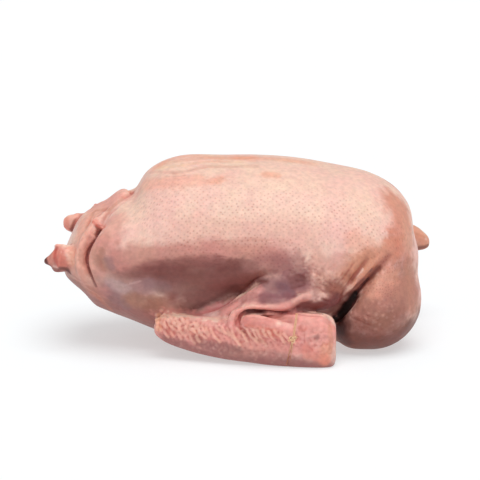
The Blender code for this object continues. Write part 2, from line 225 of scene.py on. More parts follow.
def make_studio():
    scene = bpy.context.scene
    scene.view_settings.view_transform = "Standard"
    world = bpy.data.worlds.new("soft_white_room")
    world.use_nodes = True
    shade = world.node_tree.nodes["Background"]
    shade.inputs["Color"].default_value = (1.0, 1.0, 1.0, 1)
    shade.inputs["Strength"].default_value = ROOM_LIGHT
    scene.world = world
    for name, softbox in SOFTBOXES.items():
        make_sun(name, *softbox)
    mesh = bpy.data.meshes.new("floor")
    corners = [(x * FLOOR_REACH, y * FLOOR_REACH, 0) for x, y in ((-1, -1), (1, -1), (1, 1), (-1, 1))]
    mesh.from_pydata(corners, [], [(0, 1, 2, 3)])
    floor = bpy.data.objects.new("floor", mesh)
    scene.collection.objects.link(floor)
    white = plain_material("floor_white", FLOOR_SHADE, FLOOR_ROUGHNESS)
    glow = white.node_tree.nodes["Principled BSDF"].inputs
    glow["Emission Color"].default_value = (1.0, 1.0, 1.0, 1)
    glow["Emission Strength"].default_value = FLOOR_GLOW
    floor.data.materials.append(white)


def plain_material(name, colour, roughness):
    made = bpy.data.materials.new(name)
    made.use_nodes = True
    shader = made.node_tree.nodes["Principled BSDF"]
    shader.inputs["Base Color"].default_value = shader_colour(colour)
    shader.inputs["Roughness"].default_value = roughness
    return made


def points_of(mesh):
    points = np.empty(len(mesh.vertices) * 3)
    mesh.vertices.foreach_get("co", points)
    return points.reshape(-1, 3)


def put_points(mesh, points):
    mesh.vertices.foreach_set("co", points.ravel())
    mesh.update()


def normals_of(mesh):
    normals = np.empty(len(mesh.vertices) * 3)
    mesh.vertex_normals.foreach_get("vector", normals)
    return normals.reshape(-1, 3)


def evaluated_mesh(made):
    bpy.context.view_layer.update()
    graph = bpy.context.evaluated_depsgraph_get()
    return bpy.data.meshes.new_from_object(made.evaluated_get(graph))


def tree_of(made):
    bpy.context.view_layer.update()
    return BVHTree.FromObject(made, bpy.context.evaluated_depsgraph_get())


def smooth_curve(points, spacing):
    """Points along a Catmull-Rom curve, about spacing pixels apart; each may hold more values."""
    knots = np.array(points, float)
    if len(knots) == 1:
        return knots
    padded = np.vstack([2 * knots[0] - knots[1], knots, 2 * knots[-1] - knots[-2]])
    made = []
    for i in range(len(knots) - 1):
        a, b, c, d = padded[i : i + 4]
        steps = max(1, round(np.linalg.norm((c - b)[:2]) / spacing))
        for t in np.linspace(0, 1, steps, endpoint=False):
            even = 2 * b + (c - a) * t
            bend = (2 * a - 5 * b + 4 * c - d) * t**2 + (3 * b - 3 * c + d - a) * t**3
            made.append((even + bend) / 2)
    made.append(knots[-1])
    return np.array(made)


def on_skin(tree, pixels, side):
    """Where pixels fall on the skin, with the skin's normals there and what else each pixel holds."""
    start = camera_place()
    origin = Vector((start.x, start.y * side, start.z))
    found = []
    for across, down, *rest in pixels:
        ray = picture_point(across, down) - start
        hit, normal = tree.ray_cast(origin, Vector((ray.x, ray.y * side, ray.z)).normalized())[:2]
        if hit:
            found.append((*hit, *normal, *rest))
    return np.array(found)


def wide_path(tree, line, reach, side):
    """A line's places on the skin, set as far apart as suits a wide reach."""
    return on_skin(tree, smooth_curve(line, reach / LINE_PARTS), side)


def smooth_share(gap, reach):
    """1 on a line, falling softly to 0 at its reach."""
    share = np.clip(1 - gap / reach, 0, 1)
    return share**2 * (3 - 2 * share)


def gap_to(path, points, normals, reach):
    """The points near a path that face its way, their distance and the nearest path point.

    Points that turn away count as further off, so that what is laid on the skin fades out there.
    """
    low = path[:, :3].min(0) - reach
    high = path[:, :3].max(0) + reach
    near = np.nonzero(((points > low) & (points < high)).all(1))[0]
    gap = np.full(len(near), np.inf)
    nearest = np.zeros(len(near), int)
    for i, place in enumerate(path[:, :3]):
        here = np.linalg.norm(points[near] - place, axis=1)
        nearest = np.where(here < gap, i, nearest)
        gap = np.minimum(here, gap)
    facing = (normals[near] * path[nearest, 3:6]).sum(1)
    gap = gap + 2 * reach * np.clip(FACING_LEAST - facing, 0, 0.5)
    within = gap < reach
    return near[within], gap[within], nearest[within]


def press(made, strokes, side):
    """Moves the skin in or out along each stroke's line, all measured on the same skin."""
    tree = tree_of(made)
    points = points_of(made.data)
    normals = normals_of(made.data)
    moved = points.copy()
    for reach, line in strokes:
        path = on_skin(tree, smooth_curve(line, LINE_STEP), side)
        if len(path) == 0:
            continue
        near, gap, nearest = gap_to(path, points, normals, reach * MM)
        depth = path[nearest, 6] * MM * smooth_share(gap, reach * MM)
        moved[near] += normals[near] * depth[:, None]
    put_points(made.data, moved)


def towards_neighbours(mesh, points, steps):
    """Moves points towards the mean of their neighbours by each of steps in turn."""
    ends = np.empty(len(mesh.edges) * 2, np.int32)
    mesh.edges.foreach_get("vertices", ends)
    first, second = ends.reshape(-1, 2).T
    count = np.bincount(ends, minlength=len(points))[:, None]
    for step in steps:
        total = np.empty_like(points)
        for axis in range(3):
            total[:, axis] = np.bincount(first, points[second, axis], len(points))
            total[:, axis] += np.bincount(second, points[first, axis], len(points))
        points = points + step * (total / count - points)
    return points


def relax(made, rounds):
    """Smooths the skin without shrinking it."""
    put_points(made.data, towards_neighbours(made.data, points_of(made.data), SMOOTH_STEPS * rounds))


def hollows(mesh, rounds):
    """How far each point lies under the smoothed skin: hollows above 0, crests below."""
    points = points_of(mesh)
    smoothed = towards_neighbours(mesh, points, (0.5,) * rounds)
    return ((smoothed - points) * normals_of(mesh)).sum(1)


def noise_at(points, size, seed):
    """Smooth noise, about -1 to 1, that changes over size metres; each seed reads another part of it."""
    shift = Vector((seed * 7.31, seed * 3.77, seed * 5.13))
    return np.array([noise(Vector(point) / size + shift) for point in points])


def wrinkle(made, patches, side):
    """Puckers patches of skin: reach, size of a pucker, its depth, and the line that they lie on."""
    tree = tree_of(made)
    points = points_of(made.data)
    normals = normals_of(made.data)
    moved = points.copy()
    for number, (reach, size, depth, line) in enumerate(patches):
        path = wide_path(tree, line, reach, side)
        near, gap, _ = gap_to(path, points, normals, reach * MM)
        crumple = 1 - 2 * np.abs(noise_at(points[near], size * MM, number + 1)) ** PUCKER_SHARPNESS
        moved[near] += normals[near] * (depth * MM * smooth_share(gap, reach * MM) * crumple)[:, None]
    put_points(made.data, moved)


# Creases (moving in) and folds (moving out): reach in millimetres, then pixels with millimetres out
BELT_STROKES = {
    "behind_belt": (2.6, (
        (104, 228, -1), (100, 232, -2.6), (94.4, 240.7, -3.2), (89.8, 248.4, -3), (87.4, 254.6, -2.8),
        (87.2, 261, -2.6), (89.2, 268.6, -2.2), (91.3, 275, -1.6), (94.4, 282.6, -1), (98, 289, -0.2),
    )),
    "pit_of_belt": (4.2, ((97.5, 226.5, -2), (98.5, 230, -4), (96.5, 234, -4))),
    "lip_over_pit": (2.2, (
        (92, 219, 0.4), (94, 222.5, 1.4), (98, 226, 1.7), (102.5, 228.5, 1.3), (106, 231, 0.3),
    )),
    "edge_from_breast": (3.4, (
        (133, 191.5, -1.4), (129, 195.5, -0.9), (121, 200, -0.4), (110, 209.5, -0.5), (104, 218, -0.6),
        (101, 226, -0.8),
    )),
    "upper_fold_groove": (3.4, (
        (108, 209.5, -0.1), (101, 210, -0.4), (94.4, 211.5, -0.6), (91, 217, -0.6), (88, 225, -0.5),
        (85, 234, -0.1),
    )),
    "upper_fold": (3.4, (
        (105, 212.5, 0.3), (98.5, 215.5, 1.2), (94, 221, 1), (90.5, 229, 0.9), (86, 240, 0.7),
        (82.5, 252, 0.7), (82.5, 264, 0.6), (86, 276, 0.3),
    )),
    "end_fold_groove": (3.6, (
        (98, 206, -0.1), (89, 214, -0.4), (82, 222, -0.5), (78, 233, -0.4), (75, 243, -0.1),
    )),
    "lower_edge": (3.6, (
        (84, 287, -0.1), (90, 291, -0.6), (97.5, 296, -0.6), (105.3, 304.4, -0.5), (111.5, 309, -0.1),
    )),
    "lower_fold": (3.0, ((66, 271, -0.1), (74, 277, -0.4), (83, 282.5, -0.4), (91, 286, -0.2))),
    "hock_rim": (2.2, ((64, 244.5, 0.8), (60.5, 253, 0.9), (59, 264, 0.8), (61, 270, 0.5))),
    "hock_face": (3.0, ((56, 248, -0.7), (54, 257, -0.9), (55, 266, -0.7))),
    "far_hock_side": (3.0, (
        (81, 214.2, -1), (75.8, 220.4, -1.8), (72.7, 226.7, -1.8), (70.3, 234.4, -1.6), (67.5, 241, -0.8),
    )),
    "far_hock_rim": (2.0, ((66, 215.5, 0.5), (64, 221, 0.6), (64.5, 228, 0.5))),
}
NECK_STROKES = {
    "crease": (2.4, (
        (387, 257, -0.1), (382, 263.5, -0.5), (378.7, 267.7, -0.9), (372, 275, -1.4),
        (365.3, 281.7, -2.4), (360, 288.3, -4), (356, 293, -4.6),
    )),
    "roll_beside_crease": (6.0, ((386, 259, 0.4), (380, 266, 0.9), (373, 274, 0.9), (366, 281, 0.5))),
    "pit": (6.5, ((355, 296, -3), (350, 304, -5.5), (343, 312, -6), (336, 318, -5))),
    "second_crease": (3.6, (
        (366, 259, -0.2), (362, 266, -0.8), (358.7, 271, -1), (352, 279, -1.2), (345.3, 289.7, -1.4),
        (341.3, 299, -1), (338, 306, -0.2),
    )),
    "roll_beside_second": (6.5, (
        (375, 262, 0.3), (367, 270, 0.7), (358.5, 279.5, 0.8), (351, 290, 0.6), (346, 300, 0.4),
    )),
    "third_crease": (2.4, ((354, 262, -0.2), (349, 270, -0.8), (343, 278, -0.9), (336, 286, -0.3))),
    "fourth_crease": (2.4, ((346, 268, -0.2), (340, 277, -0.7), (331, 284, -0.2))),
    "bag_fold": (4.0, ((398, 261, -0.1), (396, 268, -0.4), (393.5, 277, -0.1))),
    "nub_by_pit": (3.0, ((351, 313, 1.6),)),
    "bag_line_low": (2.2, ((352, 318, -0.2), (362, 322, -0.8), (374, 327, -0.2))),
    "bag_line_high": (2.2, ((357, 312, -0.2), (368, 316, -0.7), (379, 320, -0.2))),
}
WEB_STROKES = {
    "ridge": (6.0, (
        (297, 302, 0.6), (290, 305.5, 0.7), (283.6, 307.5, 0.8), (271.5, 308.5, 0.8), (257, 307.5, 0.8),
        (249, 308, 0.6), (242, 311, 0.4),
    )),
    "skin_by_ridge": (5.5, (
        (291, 300, 1), (277, 302, 1.5), (262, 301.5, 1.5), (250, 303, 1.3), (242, 306, 1),
        (234, 308, 1.2), (228, 313, 1.5), (226, 321, 1.2),
    )),
    "skin_over_ridge": (9.0, (
        (288, 294, 1), (276, 297, 2), (262, 296, 2), (252, 298, 1.8), (244, 302, 1.6), (237, 308, 1.6),
        (233, 314, 1.8), (232, 321, 1),
    )),
    "flap_in_slit": (4.0, ((244, 317, 1), (252, 316.5, 1.8), (262, 317.5, 1.6), (272, 319.5, 0.6))),
    "dome": (7.0, ((300, 297, 1.4), (308, 297.5, 1.8))),
    "slit": (2.3, (
        (326, 316.5, -0.6), (311, 315.6, -0.9), (296.9, 314, -1.2), (277, 312.4, -2.2),
        (268, 311.2, -2.8), (253.8, 309.9, -3.2), (246, 311, -3.2), (240.6, 315.6, -3),
        (239.4, 321, -2.4), (242, 326, -1.2), (250, 328, -0.9), (262, 329, -0.3),
    )),
    "edge_by_flank": (3.0, (
        (266, 275, -0.3), (257, 279.3, -1.3), (252.7, 282.6, -1.8), (246, 289, -2.2), (235, 297, -2.3),
        (225, 304, -2.1), (215, 309, -1.7), (205, 312, -1), (192, 314, -0.5), (178, 315, -0.2),
    )),
    "upper_tuck": (2.0, ((264, 284, -0.1), (254, 290, -0.6), (246, 296.5, -0.7), (237, 303, -0.2))),
    "lower_tuck": (2.0, ((272, 290, -0.1), (260, 296, -0.6), (249, 300.5, -0.2))),
    "dent": (2.4, ((259, 281.5, -0.4), (263, 281, -0.8), (267, 282, -0.4))),
    "nub": (2.4, ((268, 314, 0.7), (272.5, 313.8, 0.8))),
    "line_under_tie": (3.0, ((279, 321, -0.2), (288, 321.5, -0.8), (297, 324, -0.2))),
    "finger": (6.0, ((246, 319, 0.8), (258, 321, 1.2), (270, 323.5, 1))),
}
SHOULDER_STROKES = {
    "upper_pucker": (3.0, ((304, 277, -0.6), (297, 274, -0.5), (291, 270, -0.1))),
    "middle_pucker": (3.0, ((303, 281, -0.6), (296, 280, -0.5), (289, 278, -0.1))),
    "lower_pucker": (3.0, ((304, 285, -0.6), (298, 287, -0.5), (292, 289, -0.1))),
    "first_line": (2.2, ((316, 286, -0.2), (323, 291, -0.9), (330, 296, -0.2))),
    "second_line": (2.2, ((322, 280, -0.2), (330, 284, -0.9), (337, 290, -0.2))),
    "third_line": (2.2, ((318, 296, -0.2), (324, 300, -0.9), (333, 302, -0.2))),
}
KEEL_STROKES = {
    "groove": (5.0, (
        (150, 172, -0.1), (165, 171.5, -0.4), (185, 170.5, -0.6), (205, 167, -0.6), (228, 166.5, -0.4),
        (256, 166, -0.05),
    )),
    "keel": (5.0, ((160, 166, 0.1), (185, 162, 0.6), (215, 160, 0.6), (245, 161, 0.2))),
    "side_line": (2.6, ((158, 177, -0.1), (178, 176, -0.5), (196, 173, -0.1))),
}
# Puckers: reach, size and depth in millimetres, then the line of pixels that they lie on
WRINKLES = (
    (24, 7.0, 0.42, ((306, 262), (322, 276), (336, 294))),
    (22, 3.4, 0.2, ((300, 266), (320, 282), (335, 298))),
    (30, 5.0, 0.22, ((366, 300), (390, 290), (400, 316))),
    (14, 5, 0.6, ((96, 222), (88, 240), (86, 256))),
    (14, 7, 0.5, ((90, 286), (110, 302), (130, 312))),
    (14, 6, 0.5, ((352, 268), (340, 284), (332, 296))),
    (18, 6, 0.5, ((366, 318), (384, 334))),
    (22, 7, 0.7, ((180, 326), (230, 340), (320, 342))),
    (24, 2.4, 0.35, ((170, 326), (230, 340), (320, 342))),
    (12, 5, 0.6, ((226, 304), (244, 298), (262, 290))),
)
FAR_WRINKLES = (
    (16, 6, 0.6, ((98, 222), (90, 240), (88, 256))),
    (30, 8, 0.6, ((300, 290), (350, 300), (390, 290))),
)
PUCKER_SHARPNESS = 0.8

# Pimples: how many, reach and millimetres out, how far they spread round a line of pixels, the line
NEAR_PIMPLES = (
    (50, 2.2, 0.4, 9, ((306, 260), (313, 272), (320, 284))),
    (40, 2.0, 0.3, 16, ((366, 318), (384, 316), (396, 296))),
    (90, 2.2, 0.7, 8, ((164, 320), (185, 325), (200, 331))),
    (60, 2.0, 0.6, 4, ((205, 325), (240, 328), (262, 329), (280, 331))),
    (70, 2.4, 0.35, 12, ((292, 342), (305, 336), (322, 336), (320, 352))),
    (90, 2.2, 0.3, 8, ((175, 340), (230, 350), (300, 356))),
    (22, 2.0, 0.3, 6, ((66, 250), (76, 262))),
    (14, 2.6, 2.0, 4, ((162, 315), (158, 320), (158, 327))),
)
FAR_PIMPLES = (
    (60, 2.0, 0.6, 8, ((262, 306), (320, 302), (400, 290))),
)
PIMPLE_SEED = 5
# The least and the most that chance makes of a pimple's reach and height
PIMPLE_REACH = (0.8, 1.3)
PIMPLE_HEIGHT = (0.6, 1.2)

# Quill stumps: where the row starts and ends, how many, and their length in pixels at both ends
NEAR_QUILLS = (
    ((196, 326), (284, 333), 18, 14, 16),
    ((164, 316), (198, 321), 7, 7, 8),
    ((160, 322), (194, 328), 8, 8, 9),
    ((164, 330), (196, 336), 6, 7, 8),
)
FAR_QUILLS = (
    ((262, 306), (372, 300), 12, 9, 13),
)
QUILL_SEED = 11
QUILL_REACH = 2.6
QUILL_SLANT = math.radians(48)
# A quill starts steeper than it ends, by this on both sides of its slant
QUILL_BEND = math.radians(14)
QUILL_POINTS = 6
NEAR_QUILL_HEIGHT = 1.3
FAR_QUILL_HEIGHT = 1.4
# What chance changes: pixels across and down, share of the length and height, and the slant's angle
QUILL_SHIFT = (1.2, 1.5)
QUILL_LENGTHS = (0.5, 1.15)
QUILL_HEIGHTS = (0.35, 1.25)
QUILL_TURN = 0.28


def scattered(patches):
    """A stroke of one point for each pimple, spread at random round its patch's line."""
    draw = random.Random(PIMPLE_SEED)
    strokes = []
    for count, reach, out, spread, line in patches:
        route = smooth_curve(line, 1)
        for _ in range(count):
            across, down = route[draw.randrange(len(route))]
            place = (across + draw.gauss(0, spread / 2), down + draw.gauss(0, spread / 2))
            wide = reach * draw.uniform(*PIMPLE_REACH)
            strokes.append((wide, ((*place, out * draw.uniform(*PIMPLE_HEIGHT)),)))
    return strokes


def quill_lines(rows):
    """A slanting, slightly curved line of pixels for each quill stump, thickest in its middle."""
    draw = random.Random(QUILL_SEED)
    lines = []
    for first, last, count, start_length, end_length in rows:
        for i in range(count):
            share = i / (count - 1)
            shift = [draw.uniform(-most, most) for most in QUILL_SHIFT]
            across = first[0] + (last[0] - first[0]) * share + shift[0]
            down = first[1] + (last[1] - first[1]) * share + shift[1]
            length = (start_length + (end_length - start_length) * share) * draw.uniform(*QUILL_LENGTHS)
            slant = QUILL_SLANT + draw.uniform(-QUILL_TURN, QUILL_TURN)
            rise = draw.uniform(*QUILL_HEIGHTS)
            line = []
            for t in np.linspace(0, 1, QUILL_POINTS):
                line.append((across, down, rise * math.sin(math.pi * (0.12 + 0.8 * t))))
                turn = slant + QUILL_BEND * (1 - 2 * t)
                across += math.cos(turn) * length / (QUILL_POINTS - 1)
                down += math.sin(turn) * length / (QUILL_POINTS - 1)
            lines.append(line)
    return lines


def quill_strokes(rows, height):
    lines = quill_lines(rows)
    return [(QUILL_REACH, [(across, down, out * height) for across, down, out in line]) for line in lines]


# Colour: colour, strength, reach in millimetres, then pixels; later strokes lie over earlier ones
BODY_PAINT = (
    # Thigh and flank
    (PINK, 0.35, 30, ((180, 238), (250, 240), (300, 240))),
    # Painted highlight on the thigh
    (PALE, 0.4, 34, ((140, 216), (160, 230))),
    (PINK, 0.8, 20, ((112, 222), (110, 236), (106, 250))),
    (DEEP_PINK, 0.6, 13, ((102, 240), (96, 254), (98, 270))),
    # Darker bands low on the flank: partly the skin's own colour, partly painted shade under the
    # overhanging breast and thigh
    (DEEP_PINK, 0.85, 20, ((118, 260), (150, 257), (200, 255), (240, 254), (276, 256))),
    (BROWN, 0.85, 30, ((168, 282), (200, 284), (240, 278))),
    (UMBER, 0.5, 18, ((140, 274), (160, 273), (180, 270), (205, 269), (230, 271), (250, 274))),
    (ROSE_BROWN, 0.5, 11, ((148, 266), (175, 264), (200, 262.5), (235, 264))),
    (MAUVE, 0.6, 12, ((250, 266), (270, 262), (285, 266))),
    # Low skin by the belt
    (OLIVE, 0.5, 12, ((96, 256), (104, 264))),
    (BLUISH, 0.55, 8, ((108, 260), (111, 266))),
    (LAVENDER, 0.85, 17, ((116, 288), (130, 290), (146, 288))),
    (MEMBRANE, 0.8, 9, ((112, 283), (118, 286), (126, 290))),
    (BLUISH, 0.5, 10, ((150, 284), (162, 286))),
    (WHITISH, 0.3, 1.6, ((124, 286), (132, 283.5), (140, 281))),
    (BLUISH, 0.5, 12, ((104, 292), (114, 299), (124, 305))),
    (OLIVE, 0.75, 13, ((132, 300), (146, 302), (158, 304))),
    # Painted shadow on the skin over the wing, under the overhanging breast
    (RUSSET, 0.6, 12, ((150, 312), (162, 304), (178, 306))),
    (ROSE_BROWN, 0.35, 14, ((180, 302), (205, 297))),
    (BROWN, 0.85, 12, ((186, 308), (205, 298), (222, 290), (240, 280))),
    (DARK, 0.55, 8, ((194, 309), (208, 305), (222, 298), (236, 288))),
    # Top of the breast
    (PEACH, 0.5, 14, ((142, 186), (165, 182), (200, 180))),
    (ORANGE, 0.3, 11, ((158, 165), (185, 160), (215, 158), (250, 159))),
    (FAT, 0.3, 4, ((160, 168), (185, 165), (205, 162), (240, 162))),
    # Painted shade along the keel's groove
    (TAN, 0.25, 5, ((175, 173), (190, 171), (206, 167), (228, 167), (256, 166))),
    (ORANGE, 0.25, 10, ((240, 158), (285, 160), (310, 164))),
    # Neck end
    (NECK_SKIN, 0.8, 30, ((398, 204), (404, 222), (406, 244))),
    (PEACH, 0.5, 14, ((352, 240), (366, 250))),
    (PALE, 0.35, 18, ((370, 190), (350, 182), (330, 178))),
)
BREAST_PAINT = (
    (RED, 0.2, 4, ((150, 172), (165, 172.5), (175, 173))),
    (ORANGE, 0.45, 7, ((214, 181), (221, 179))),
    (ORANGE, 0.45, 8, ((266, 174), (276, 175))),
)
BELT_PAINT = (
    (BELT_SKIN, 0.9, 24, ((112, 200), (92, 216), (82, 240), (80, 262))),
    (DEEP_PINK, 0.6, 16, ((76, 272), (88, 284), (98, 294))),
    (OLIVE, 0.3, 8, ((92, 290), (106, 302))),
    # Painted shade along the belt's edges and folds, and in its pit
    (TAN, 0.45, 4, ((133, 192), (121, 200), (110, 209.5), (103, 220))),
    (TAN, 0.4, 4, ((108, 209.5), (94.4, 211.5), (91, 217), (87, 228))),
    (CORAL, 0.5, 4, ((95, 220), (99, 224), (104, 228))),
    (RUSSET, 0.75, 4.5, ((98, 227), (99, 231), (96, 236))),
    (RED, 0.6, 1.8, ((93, 221.5), (97, 225.5), (102, 229))),
    # Painted shade in the crease behind the belt and along its lower edge
    (DARK, 0.7, 2.2, ((101, 231), (95.5, 239), (91, 247), (87.6, 255))),
    (DARK, 0.55, 2, ((87.6, 255), (87, 261), (89.2, 268.6), (92, 277), (96, 286))),
    (RUSSET, 0.4, 7, ((91, 238), (86, 248), (84, 262))),
    (TAN, 0.4, 4, ((84, 287), (90, 291), (97.5, 296), (105.3, 304.4), (111.5, 310))),
)
HOCK_PAINT = (
    # Far hock, then near hock, then their edges
    (PINK, 0.8, 10, ((78, 217), (69, 221), (67, 230))),
    (CORAL, 0.5, 5, ((66, 219), (67, 228))),
    (HOCK_FLESH, 0.85, 12, ((47, 258), (54, 257), (60, 262))),
    (CORAL, 0.5, 7, ((58, 248), (61, 252), (62, 264))),
    (PEACH, 0.6, 7, ((71, 250), (73, 262))),
    (RED, 0.6, 3, ((57, 248), (55, 256), (58, 266))),
    (BROWN, 0.8, 3.4, ((55, 243), (49, 250), (45.5, 259), (49, 267), (58, 270))),
    (DARK, 0.8, 3, ((45, 258), (46, 262))),
    (DARK, 0.75, 3, ((60, 268), (66, 269), (70, 273))),
    (PURPLE, 0.8, 4, ((66, 214), (63.2, 220), (64, 228), (68, 234))),
    (DARK, 0.5, 2, ((65, 215), (63, 221), (63.5, 227))),
    (RUSSET, 0.8, 3.4, ((81, 214.2), (75.8, 220.4), (72.7, 226.7), (70.3, 234.4), (67.5, 241))),
)
NECK_PAINT = (
    # Bag and the skin over it
    (BAG_SKIN, 0.85, 42, ((374, 312), (392, 302), (408, 290))),
    (BAG_LOW, 0.8, 26, ((344, 340), (368, 346), (394, 342), (412, 328))),
    (BAG_LOW, 0.4, 30, ((352, 330), (372, 334), (394, 326))),
    (TAN, 0.35, 12, ((408, 262), (412, 284), (412, 306))),
    (PEACH, 0.6, 14, ((372, 290), (382, 281), (392, 274))),
    (NECK_SKIN, 0.85, 20, ((394, 248), (376, 260), (360, 266), (350, 272))),
    (TAN, 0.4, 10, ((370, 258), (356, 268), (348, 278))),
    (PIT_EDGE_SHADE, 0.5, 10, ((346, 278), (336, 292), (328, 300))),
    # Painted shade in the creases, then painted shadow in the pit between the shoulder and the bag
    (RUSSET, 0.6, 5, ((388, 256), (380, 265), (372, 274))),
    (PIT_EDGE_SHADE, 0.8, 5, ((378, 268), (368, 280), (359, 291))),
    (UMBER, 0.5, 3, ((379, 268), (374, 273), (367, 280))),
    (DARK, 0.85, 2.4, ((368, 279), (363, 285), (358, 291), (353, 298))),
    (PIT_EDGE_SHADE, 0.2, 4.5, ((366, 259), (359, 269), (352, 279), (345, 290), (342, 298))),
    (TAN, 0.4, 8, ((397, 262), (394, 275))),
    (RUSSET, 0.35, 6, ((351, 286), (347, 294))),
    (DARK, 0.8, 12, ((355, 297), (349, 306), (342, 316), (339, 330))),
    (PIT_SHADOW_BLACK, 0.95, 6, ((356, 293), (351, 300), (346, 307), (341, 313))),
    (PIT_SHADOW_BLACK, 0.9, 8, ((344, 314), (341, 322), (341, 330))),
    (PIT_SHADOW_BLACK, 0.9, 4, ((334, 317), (335, 322))),
    (DARK, 0.6, 11, ((346, 322), (342, 334), (346, 342))),
    (PALE, 0.4, 1.8, ((351, 312),)),
)
SHOULDER_PAINT = (
    (MAUVE, 0.6, 22, ((286, 264), (300, 272), (306, 286))),
    (PINK, 0.6, 16, ((318, 262), (322, 272), (336, 264))),
    (RUSSET, 0.5, 16, ((324, 284), (338, 294))),
    (PIT_EDGE_SHADE, 0.7, 10, ((330, 286), (338, 288), (340, 298))),
    (PURPLE, 0.85, 18, ((270, 288), (284, 286), (298, 282))),
    (VIOLET, 0.6, 10, ((282, 288), (290, 294))),
    # Painted shade in the dent and along the puckers
    (UMBER, 0.45, 4, ((258, 281), (267, 282))),
    (UMBER, 0.5, 8, ((306, 278), (298, 279), (292, 279))),
    (UMBER, 0.4, 3, ((304, 278), (297, 275), (291, 271))),
    (UMBER, 0.4, 3, ((304, 284), (298, 286), (292, 288))),
    # Painted shade at the shoulder's lower edge, over the wing
    (ROSE_BROWN, 0.9, 13, ((302, 308), (320, 307), (336, 302))),
)
WEB_PAINT = (
    (ROSE, 0.85, 14, ((204, 315), (222, 309), (240, 301), (256, 297))),
    (MAUVE, 0.5, 5, ((190, 314), (201, 315))),
    (MAUVE, 0.5, 4, ((217, 314), (221, 311))),
    (WING_PINK, 0.5, 7, ((226, 311), (234, 304))),
    (MAUVE, 0.6, 7, ((244, 300), (254, 298), (264, 299))),
    (PURPLE, 0.8, 9, ((264, 298), (276, 300), (290, 298))),
    # Painted highlight on the web
    (WHITISH, 0.75, 6, ((206, 315), (214, 314))),
    (WING_PINK, 0.75, 6, ((290, 305), (276, 308), (257, 308), (246, 308), (238, 311), (233, 316))),
    (PINK, 0.6, 6, ((309, 297), (302, 299), (295, 302))),
    # Painted shade along the web's edge by the flank
    (UMBER, 0.5, 6, ((226, 300), (238, 292), (247, 286), (253, 280))),
    # Slit: painted shade in it and along its edges
    (DARK, 0.9, 2.4, ((282, 312.5), (268, 311), (254, 310), (246, 311), (240.6, 315.6), (239.4, 321),
                      (241, 325))),
    (SLIT_SHADOW_RED, 0.95, 4, ((244, 313), (249, 311.6), (257, 311.6), (265, 312.4))),
    (RUSSET, 0.6, 2.4, ((242, 327), (250, 328.5), (262, 329.5))),
    (ROSE_BROWN, 0.8, 2.4, ((282, 312), (297, 312), (311, 313), (322, 314))),
    (WHITISH, 0.4, 2, ((268, 314), (273, 314))),
)
WING_PAINT = (
    (WING_PINK, 0.95, 28, ((165, 328), (230, 340), (320, 340))),
    (WING_PINK, 0.8, 14, ((240, 320), (280, 318), (320, 320), (332, 330))),
    (PEACH, 0.5, 12, ((160, 322), (180, 328), (196, 334))),
    (MAUVE, 0.8, 8, ((196, 340), (210, 346), (236, 350))),
    (WING_LOW, 0.9, 12, ((168, 341), (200, 353), (240, 361), (284, 365), (312, 367))),
    (WING_LOW, 0.6, 9, ((206, 347), (240, 353), (276, 357), (298, 362))),
    # Finger, red spots and the wrist
    (PINK, 0.5, 13, ((308, 328), (316, 340), (312, 352))),
    (DEEP_PINK, 0.8, 7, ((278, 318), (294, 321))),
    (DEEP_ROSE, 0.7, 8, ((246, 320), (258, 322), (272, 324))),
    (CORAL, 0.5, 3, ((246, 326), (262, 328), (276, 331))),
    (RED, 0.6, 6, ((270, 333), (279, 335))),
    (CORAL, 0.5, 6, ((260, 332), (270, 334))),
    (ORANGE, 0.45, 9, ((326, 348), (325, 360))),
    (CORAL, 0.4, 9, ((306, 350), (314, 355), (324, 360))),
    (ROSE_BROWN, 0.6, 4, ((317, 337),)),
    (RED, 0.4, 4, ((300, 328), (304, 329))),
    (TAN, 0.5, 4, ((330, 326), (331, 340), (330, 352))),
    (CORAL, 0.5, 5, ((158, 321), (166, 327), (172, 335))),
    (FAT, 0.5, 5, ((160, 316), (157, 322), (159, 328))),
)
STUB_PAINT = (
    (NECK_SKIN, 0.8, 14, ((416, 230), (428, 242))),
    # Painted shadow under the stub
    (DARK, 0.6, 3, ((420, 247.5), (424, 247.5), (428, 245.5))),
    (TAN, 0.6, 2.2, ((415, 233), (424, 237))),
    # Painted highlight at its tip
    (WHITISH, 0.5, 2.5, ((426, 239),)),
    (TAN, 0.6, 3, ((413, 226), (414, 246))),
)
# Where the skin's colour is mottled: how much, reach, and the line of pixels
MOTTLED = (
    (0.18, 24, ((306, 262), (322, 280), (335, 298))),
    (0.12, 20, ((172, 328), (230, 340), (320, 342))),
    (0.12, 18, ((70, 250), (86, 236), (96, 220))),
    (0.08, 34, ((376, 310), (398, 290))),
    (0.10, 20, ((130, 296), (150, 300))),
)
MOTTLE_SIZE = 4.5 * MM
PAINT = BODY_PAINT + BREAST_PAINT + BELT_PAINT + NECK_PAINT + SHOULDER_PAINT + WEB_PAINT + WING_PAINT
PAINT += HOCK_PAINT + STUB_PAINT
FAR_PAINT = BODY_PAINT + BELT_PAINT + (
    (DEEP_PINK, 0.7, 30, ((262, 306), (320, 300), (400, 285))),
    (CORAL, 0.35, 10, ((262, 306), (330, 300), (380, 294))),
    (MAUVE, 0.5, 12, ((270, 318), (340, 312))),
    (ROSE, 0.6, 16, ((380, 290), (420, 285))),
)
MOTTLE_LEAST = 0.03
MOTTLE_TONE = (0.8, 1.1, 1.0)
# Colour, strength and reach of a quill stump and of the gap beside it, and pixels between the two
QUILL_PAINT = (QUILL_PALE, 0.6, 2.2)
QUILL_GAP_PAINT = (QUILL_GAP, 0.25, 2.2)
QUILL_PAINT_SHIFT = 2.6
# Strength of a painted highlight on each pimple
PIMPLE_HIGHLIGHT = 0.1
